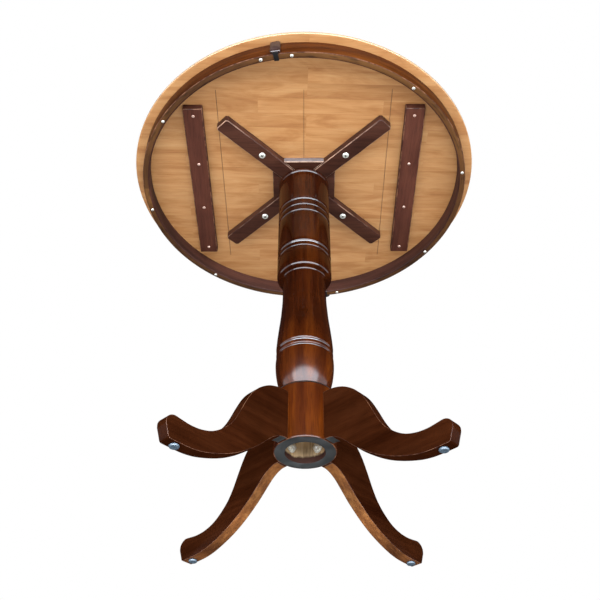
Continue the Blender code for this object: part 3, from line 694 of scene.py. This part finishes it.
turned("extension_upper_piece", EXT_UPPER, [(ROD_HOLE, JOINT_HI + JOINT_GAP), (ROD_HOLE, SHAFT_TOP)],
       SHAFT_FINISHES, shaft_finish, "extension_upper")
turned("extension_lower_piece", EXT_LOWER, [(ROD_HOLE, JOINT_LO + JOINT_GAP), (ROD_HOLE, JOINT_HI)],
       SHAFT_FINISHES, shaft_finish, "extension_lower")
turned("pedestal_column_piece", CAP + VASE + BULB + HUB,
       [(0.0670, 0.1374), (0.0666, 0.1365), (0.0657, 0.1361), (0.0648, HUB_Z), (0.0440, HUB_Z),
        (0.0433, 0.1363), (BORE_R, 0.1372), (BORE_R, BORE_TOP), (ROD_HOLE, BORE_TOP), (ROD_HOLE, JOINT_LO)],
       PEDESTAL_FINISHES, pedestal_finish, "pedestal_column")

# ---------------------------------------------------------------- legs and glides
LEG_TOP = [(0.0655, 0.2522), (0.080, 0.2525), (0.100, 0.2490), (0.124, 0.2395), (0.150, 0.2205),
           (0.171, 0.1955), (0.188, 0.1640), (0.205, 0.1275), (0.221, 0.1010), (0.243, 0.0790),
           (0.267, 0.0630), (0.294, 0.0545), (0.319, 0.0525), (0.340, 0.0545), (0.356, 0.0560),
           (0.367, 0.0510), (0.3725, 0.0420), (0.3725, 0.0320)]
LEG_UNDER = [(0.3640, 0.0080), (0.3600, 0.0058), (0.3250, 0.0058), (0.3050, 0.0072), (0.2810, 0.0118),
             (0.2480, 0.0228), (0.2150, 0.0375), (0.1840, 0.0565), (0.1500, 0.0825), (0.1240, 0.1070),
             (0.1080, 0.1215), (0.0930, 0.1310), (0.0800, 0.1355), (0.0720, 0.1360), (0.0655, 0.1360)]
LEG_HALF_T, GLIDE_REACH, BOLT_Z = 0.013, 0.340, 0.166
LEG_TURNS = (("back_right", 45.0), ("back_left", 135.0), ("front_left", 225.0), ("front_right", 315.0))


def leg_mesh(name, under_mat, paint_reach):
    """Leg along +X; hub paint runs on to its underside as far as paint_reach."""
    bm = prism(smooth(LEG_TOP, 5) + smooth(LEG_UNDER, 5), -LEG_HALF_T, LEG_HALF_T,
               Matrix.Rotation(math.radians(90), 4, "X"))
    for face in bm.faces:
        x = face.calc_center_median().x
        if face.normal.z < -0.45 and x > 0.068:
            face.material_index = 3 if x < paint_reach else 1
    ease(bm, 0.0014, 3, material=2)
    return mesh_of(to_object(name, bm, [LEG_WOOD, under_mat, WORN_HIGHLIGHT_DARK, HUB_PAINT]))


def glide_mesh():
    """Plastic button on a nail, with a small dimple underneath."""
    return mesh_of(lathe("glide_source",
                         [(0.0, 0.020), (0.0013, 0.018), (0.0015, 0.0056), (0.0080, 0.0056),
                          (0.0092, 0.0050), (0.0096, 0.0040), (0.0095, 0.0024), (0.0088, 0.0010),
                          (0.0074, 0.0002), (0.0060, 0.0), (0.0030, 0.0), (0.0022, 0.0004), (0.0, 0.0006)],
                         48, [GLIDE_PLASTIC]))


def flanged_nut_mesh():
    """Hexagon nut along Z, with its washer face at the seat."""
    seat, hex_r = 0.0411, 0.0092
    low, high = seat - 0.0080, seat - 0.0012
    bm = bmesh.new()
    bmesh.ops.create_cone(bm, cap_ends=True, segments=6, radius1=hex_r, radius2=hex_r,
                          depth=high - low, matrix=Matrix.Translation((0, 0, (low + high) / 2)))
    ease(bm, 0.0005, angle=40.0)
    flange = lathe("flange_source",
                   [(0.0112, seat), (0.0115, seat - 0.0006), (0.0111, seat - 0.0014),
                    (0.0090, seat - 0.0016), (0.0045, seat - 0.0016), (0.0045, seat)],
                   36, [ZINC], closed=True)
    bm.from_mesh(mesh_of(flange))
    return mesh_of(to_object("nut_source", bm, [ZINC]))


def hanger_bolt_mesh():
    """Bolt along Z: plain shank in the leg, threaded end inside the hub."""
    radius, root, pitch = 0.0040, 0.0035, 0.0008
    plain_end, thread_start, thread_end = 0.112, 0.062, 0.0322
    points = [(0.0, plain_end)]
    z = plain_end
    while z > thread_end:
        points.append((radius, z))
        if z < thread_start:
            points.append((root, z - pitch / 2))
            z -= pitch
        else:
            z -= 0.0100
    points += [(0.0030, thread_end - 0.0005), (0.0, thread_end - 0.0005)]
    return mesh_of(lathe("bolt_source", points, 20, [ZINC]))


leg_meshes = {"front": leg_mesh("front_leg_mesh", LEG_WOOD, 0.088),
              "back": leg_mesh("back_leg_mesh", LEG_UNDER_WOOD, 0.070)}
glide, nut, bolt = glide_mesh(), flanged_nut_mesh(), hanger_bolt_mesh()
for side, deg in LEG_TURNS:
    turn = math.radians(deg)
    place(leg_meshes[side.split("_")[0]], "leg_piece_" + side, 0.0, 0.0, 0.0, turn,
          "leg_wood", "leg_" + side)
    place(glide, "glide_piece_" + side, GLIDE_REACH * math.cos(turn), GLIDE_REACH * math.sin(turn), 0.0,
          turn, "glide_plastic", "glide_" + side)
    axis = Matrix.Translation((0, 0, BOLT_Z)) @ spin(deg) @ Matrix.Rotation(math.radians(90), 4, "Y")
    for label, mesh, node in (("leg_nut_piece_", nut, "leg_nut_"), ("leg_bolt_piece_", bolt, "leg_bolt_")):
        ob = link(bpy.data.objects.new(label + side, mesh))
        ob.matrix_world = axis
        stand_for(ob, node + side)

for name in ("tie_rod", "tie_rod_nut"):
    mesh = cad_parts[name].data
    mesh.materials.clear()
    mesh.materials.append(ZINC)


# ---------------------------------------------------------------- floor, surroundings, lights, camera
def pale_floor():
    """Round floor that is clear from below, because the camera stands lower than the feet."""
    mat = bpy.data.materials.new("floor_pale")
    mat.use_nodes = True
    tree = mat.node_tree
    side = tree.nodes.new("ShaderNodeNewGeometry")
    clear = tree.nodes.new("ShaderNodeBsdfTransparent")
    blend = tree.nodes.new("ShaderNodeMixShader")
    pale = tree.nodes["Principled BSDF"]
    pale.inputs["Base Color"].default_value = (0.86, 0.86, 0.86, 1.0)
    pale.inputs["Roughness"].default_value = 0.8
    tree.links.new(side.outputs["Backfacing"], blend.inputs[0])
    tree.links.new(pale.outputs[0], blend.inputs[1])
    tree.links.new(clear.outputs[0], blend.inputs[2])
    tree.links.new(blend.outputs[0], tree.nodes["Material Output"].inputs["Surface"])
    bpy.ops.mesh.primitive_circle_add(vertices=96, radius=2.8, fill_type="NGON", location=(0, 0, 0))
    floor = bpy.context.object
    floor.name = "floor"
    floor.data.materials.append(mat)
    floor.visible_shadow = floor.visible_diffuse = floor.visible_glossy = False


def studio_world():
    """White to the camera, dim to reflections, and brighter from below than from above to the rest."""
    world = bpy.data.worlds.new("studio")
    bpy.context.scene.world = world
    world.use_nodes = True
    tree = world.node_tree
    coords = tree.nodes.new("ShaderNodeTexCoord")
    split = tree.nodes.new("ShaderNodeSeparateXYZ")
    span = tree.nodes.new("ShaderNodeMapRange")
    span.inputs[1].default_value, span.inputs[2].default_value = -1.0, 1.0
    ramp = tree.nodes.new("ShaderNodeValToRGB")
    low, high = ramp.color_ramp.elements
    low.position, low.color = 0.35, (0.95, 0.97, 1.0, 1)
    high.position, high.color = 0.60, (0.42, 0.43, 0.45, 1)
    tree.links.new(coords.outputs["Generated"], split.inputs[0])
    tree.links.new(split.outputs[2], span.inputs[0])
    tree.links.new(span.outputs[0], ramp.inputs[0])
    paths = tree.nodes.new("ShaderNodeLightPath")
    seen = ramp.outputs[0]
    for ray, colour in (("Is Glossy Ray", (0.030, 0.036, 0.045, 1.0)),
                        ("Is Camera Ray", (1.0, 1.0, 1.0, 1.0))):
        choice = tree.nodes.new("ShaderNodeMix")
        choice.data_type = "RGBA"
        choice.inputs[7].default_value = colour
        tree.links.new(paths.outputs[ray], choice.inputs[0])
        tree.links.new(seen, choice.inputs[6])
        seen = choice.outputs[2]
    tree.links.new(seen, tree.nodes["Background"].inputs[0])


def area(name, location, target, width, height, watts, colour):
    light = bpy.data.lights.new(name, "AREA")
    light.shape, light.size, light.size_y = "RECTANGLE", width, height
    light.energy, light.color = watts, colour
    ob = link(bpy.data.objects.new(name, light))
    ob.location = location
    ob.rotation_euler = (Vector(target) - Vector(location)).to_track_quat("-Z", "Y").to_euler()
    ob.visible_camera = False
    return ob


def lights():
    """A window in front, panels that only reflections see, and two soft fills that they don't."""
    area("window_front", (0.1, -2.9, -0.07), (0.1, 0.0, -0.07), 7.5, 2.0, 400.0, (0.86, 0.93, 1.0))
    glint_z, glint_height, glint_colour = -0.33, 2.53, (0.80, 0.89, 1.0)
    for name, place_at, aim, width, watts in (
            ("glint_front", (0.1, -2.8, glint_z), (0.1, 0.0, glint_z), 7.5, 1100.0),
            ("glint_left", (-3.7, -0.9, glint_z), (0.0, -0.9, glint_z), 3.9, 170.0),
            ("glint_right", (3.9, -0.9, glint_z), (0.0, -0.9, glint_z), 3.9, 170.0)):
        area(name, place_at, aim, width, glint_height, watts, glint_colour).visible_diffuse = False
    for name, place_at, aim, size, watts in (
            ("fill_below", (0.0, -0.9, -2.2), (0.0, 0.0, 0.9), 2.4, 40.0),
            ("key_above", (-1.4, 0.8, 3.0), (0.0, 0.0, 0.8), 1.8, 60.0)):
        area(name, place_at, aim, size, size, watts, (1.0, 0.98, 0.95)).visible_glossy = False


def camera():
    data = bpy.data.cameras.new("camera")
    data.lens, data.sensor_width, data.clip_end = 51.19, 36.0, 60.0
    ob = link(bpy.data.objects.new("camera", data))
    place_at = (-0.0504, -1.5595, -0.7916)
    right = Vector((0.9997, -0.0254, 0.0))
    up = Vector((-0.0166, -0.6545, 0.7557))
    ahead = Vector((0.0192, 0.7555, 0.6547))
    ob.matrix_world = Matrix.Translation(place_at) @ Matrix((right, up, -ahead)).transposed().to_4x4()
    bpy.context.scene.camera = ob


pale_floor()
studio_world()
lights()
camera()
bpy.context.scene.view_settings.view_transform = "Standard"
